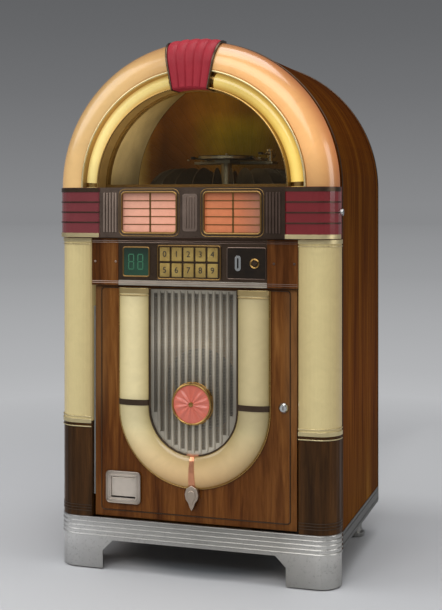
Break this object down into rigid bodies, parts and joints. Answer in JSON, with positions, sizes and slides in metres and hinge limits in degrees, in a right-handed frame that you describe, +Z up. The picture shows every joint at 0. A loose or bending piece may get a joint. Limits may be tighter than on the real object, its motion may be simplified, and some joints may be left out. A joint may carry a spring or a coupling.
{
  "type": "jukebox",
  "caption": "Free-standing arched jukebox with lit plastic arch and columns, hinged doors, key bank, coin parts and a record carousel under a half-round window.",
  "frame": {"origin": "on the floor under the middle of the whole object's box", "axes": "+Z up, the front with the keys and the window faces -Y, +X to the right of someone who faces the front"},
  "size_m": [0.8426, 0.66, 1.522],
  "materials": {
    "walnut": "polished dark walnut veneer",
    "burl": "polished burl veneer",
    "panel_wood": "satin figured veneer",
    "board": "plain board",
    "chrome": "polished",
    "steel": "satin",
    "alloy": "cast, satin",
    "dark_trim": "dark bronze paint",
    "cream_lens": "translucent cream",
    "peach_lens": "translucent peach",
    "yellow_lens": "translucent golden yellow",
    "red_lens": "translucent deep red",
    "green_lens": "translucent dark green",
    "title_light": "backlit salmon",
    "glass": "clear",
    "grille_grey": "warm grey paint",
    "medallion": "rose red",
    "key_gold": "dull gold",
    "black_plastic": "black",
    "vinyl": "black record vinyl",
    "tint": "tinted film",
    "rubber": "black",
    "paper_cone": "black"
  },
  "bodies": {
    "cabinet": {"cabinet_shell": "walnut", "cabinet_floor": "board", "front_frame": "walnut", "kick_plate": "chrome", "upper_hinge": "steel", "lower_hinge": "steel", "rear_hinge": "steel", "pilaster_base_left": "burl", "pilaster_base_right": "burl", "pilaster_lens_left": "cream_lens", "pilaster_lens_right": "cream_lens", "control_panel": "dark_trim", "credit_window": "green_lens", "coin_entry_plate": "dark_trim", "coin_acceptor": "alloy", "speaker_baffle": "board", "speaker": "paper_cone", "amplifier": "alloy", "mech_chassis": "alloy"},
    "upper_door": {"upper_door_frame": "walnut", "dome_glass": "glass", "arch_lens": "peach_lens", "arch_trough": "chrome", "arch_tube": "yellow_lens", "keystone": "red_lens", "belt_cap_left": "red_lens", "belt_cap_right": "red_lens", "title_frame": "dark_trim", "title_lightbox": "title_light"},
    "lower_door": {"lower_door_panel": "panel_wood", "grille": "grille_grey", "grille_medallion": "medallion", "u_lens": "cream_lens", "u_clasps": "dark_trim", "coin_return_cup": "chrome"},
    "carousel": {"carousel_basket": "alloy", "carousel_records": "vinyl"},
    "upper_door_lock": {"upper_door_lock": "chrome"},
    "lower_door_lock": {"lower_door_lock": "chrome"},
    "coin_return_flap": {"coin_return_flap": "chrome"},
    "rear_door": {"rear_door": "board"},
    "coin_return_button": {"coin_return_button": "chrome"},
    "cash_box": {"cash_box": "steel"},
    "carousel_drive_wheel": {"carousel_drive_wheel": "rubber"},
    "turntable": {"turntable": "alloy"},
    "tonearm": {"tonearm": "chrome"},
    "gripper_arm": {"gripper_arm": "chrome"},
    "colour_cylinder_left": {"colour_cylinder_left": "tint"},
    "colour_cylinder_right": {"colour_cylinder_right": "tint"},
    "volume_knob": {"volume_knob": "black_plastic"},
    "key_0": {"key_0": "key_gold"},
    "key_1": {"key_1": "key_gold"},
    "key_2": {"key_2": "key_gold"},
    "key_3": {"key_3": "key_gold"},
    "key_4": {"key_4": "key_gold"},
    "key_5": {"key_5": "key_gold"},
    "key_6": {"key_6": "key_gold"},
    "key_7": {"key_7": "key_gold"},
    "key_8": {"key_8": "key_gold"},
    "key_9": {"key_9": "key_gold"}
  },
  "joints": [
    {"name": "upper_door_hinge", "type": "hinge", "parent": "cabinet", "child": "upper_door", "pos_m": [-0.4183, -0.2404, 0.957], "axis": [0, 0, -1], "range_deg": [0, 95]},
    {"name": "lower_door_hinge", "type": "hinge", "parent": "cabinet", "child": "lower_door", "pos_m": [-0.3035, -0.2885, 0.153], "axis": [0, 0, -1], "range_deg": [0, 95]},
    {"name": "rear_door_hinge", "type": "hinge", "parent": "cabinet", "child": "rear_door", "pos_m": [-0.396, 0.327, 0.118], "axis": [0, 0, 1], "range_deg": [0, 110]},
    {"name": "upper_door_lock_turn", "type": "hinge", "parent": "upper_door", "child": "upper_door_lock", "pos_m": [0.4153, -0.2505, 1.03], "axis": [1, 0, 0], "range_deg": [0, 90]},
    {"name": "lower_door_lock_turn", "type": "hinge", "parent": "lower_door", "child": "lower_door_lock", "pos_m": [0.262, -0.2903, 0.49], "axis": [0, 1, 0], "range_deg": [0, 90]},
    {"name": "coin_return_flap_hinge", "type": "hinge", "parent": "lower_door", "child": "coin_return_flap", "pos_m": [-0.212, -0.2928, 0.2655], "axis": [1, 0, 0], "range_deg": [0, 60]},
    {"name": "coin_return_button_press", "type": "slide", "parent": "cabinet", "child": "coin_return_button", "axis": [0, 1, 0], "range_m": [0, 0.004], "stiffness_N_per_m": 300, "springref_m": -0.001},
    {"name": "cash_box_slide", "type": "slide", "parent": "cabinet", "child": "cash_box", "axis": [0, -1, 0], "range_m": [0, 0.06]},
    {"name": "carousel_spin", "type": "hinge", "parent": "cabinet", "child": "carousel", "pos_m": [0, 0.02, 0.9536], "axis": [0, 0, 1], "continuous": true},
    {"name": "drive_wheel_spin", "type": "hinge", "parent": "cabinet", "child": "carousel_drive_wheel", "pos_m": [-0.15578, 0.17578, 0.9453], "axis": [0, 0, 1], "continuous": true},
    {"name": "turntable_spin", "type": "hinge", "parent": "cabinet", "child": "turntable", "pos_m": [0, 0.02, 1.1863], "axis": [0, 0, 1], "continuous": true},
    {"name": "tonearm_swing", "type": "hinge", "parent": "cabinet", "child": "tonearm", "pos_m": [0.117, 0.1, 1.1863], "axis": [0, 0, -1], "range_deg": [0, 34]},
    {"name": "gripper_lift", "type": "hinge", "parent": "cabinet", "child": "gripper_arm", "pos_m": [0, 0.136, 1.1935], "axis": [-1, 0, 0], "range_deg": [0, 80]},
    {"name": "colour_cylinder_left_spin", "type": "hinge", "parent": "cabinet", "child": "colour_cylinder_left", "pos_m": [-0.3595, -0.2705, 0.4376], "axis": [0, 0, 1], "continuous": true},
    {"name": "colour_cylinder_right_spin", "type": "hinge", "parent": "cabinet", "child": "colour_cylinder_right", "pos_m": [0.3595, -0.2705, 0.4376], "axis": [0, 0, 1], "continuous": true},
    {"name": "volume_knob_turn", "type": "hinge", "parent": "cabinet", "child": "volume_knob", "pos_m": [-0.27, 0.2003, 0.1783], "axis": [0, -1, 0], "range_deg": [0, 270]},
    {"name": "key_0_press", "type": "slide", "parent": "cabinet", "child": "key_0", "axis": [0, 1, 0], "range_m": [0, 0.0025], "stiffness_N_per_m": 300, "springref_m": -0.001},
    {"name": "key_1_press", "type": "slide", "parent": "cabinet", "child": "key_1", "axis": [0, 1, 0], "range_m": [0, 0.0025], "stiffness_N_per_m": 300, "springref_m": -0.001},
    {"name": "key_2_press", "type": "slide", "parent": "cabinet", "child": "key_2", "axis": [0, 1, 0], "range_m": [0, 0.0025], "stiffness_N_per_m": 300, "springref_m": -0.001},
    {"name": "key_3_press", "type": "slide", "parent": "cabinet", "child": "key_3", "axis": [0, 1, 0], "range_m": [0, 0.0025], "stiffness_N_per_m": 300, "springref_m": -0.001},
    {"name": "key_4_press", "type": "slide", "parent": "cabinet", "child": "key_4", "axis": [0, 1, 0], "range_m": [0, 0.0025], "stiffness_N_per_m": 300, "springref_m": -0.001},
    {"name": "key_5_press", "type": "slide", "parent": "cabinet", "child": "key_5", "axis": [0, 1, 0], "range_m": [0, 0.0025], "stiffness_N_per_m": 300, "springref_m": -0.001},
    {"name": "key_6_press", "type": "slide", "parent": "cabinet", "child": "key_6", "axis": [0, 1, 0], "range_m": [0, 0.0025], "stiffness_N_per_m": 300, "springref_m": -0.001},
    {"name": "key_7_press", "type": "slide", "parent": "cabinet", "child": "key_7", "axis": [0, 1, 0], "range_m": [0, 0.0025], "stiffness_N_per_m": 300, "springref_m": -0.001},
    {"name": "key_8_press", "type": "slide", "parent": "cabinet", "child": "key_8", "axis": [0, 1, 0], "range_m": [0, 0.0025], "stiffness_N_per_m": 300, "springref_m": -0.001},
    {"name": "key_9_press", "type": "slide", "parent": "cabinet", "child": "key_9", "axis": [0, 1, 0], "range_m": [0, 0.0025], "stiffness_N_per_m": 300, "springref_m": -0.001}
  ],
  "couplings": [
    {"joint": "drive_wheel_spin", "follows": "carousel_spin", "ratio": -11.222}
  ]
}
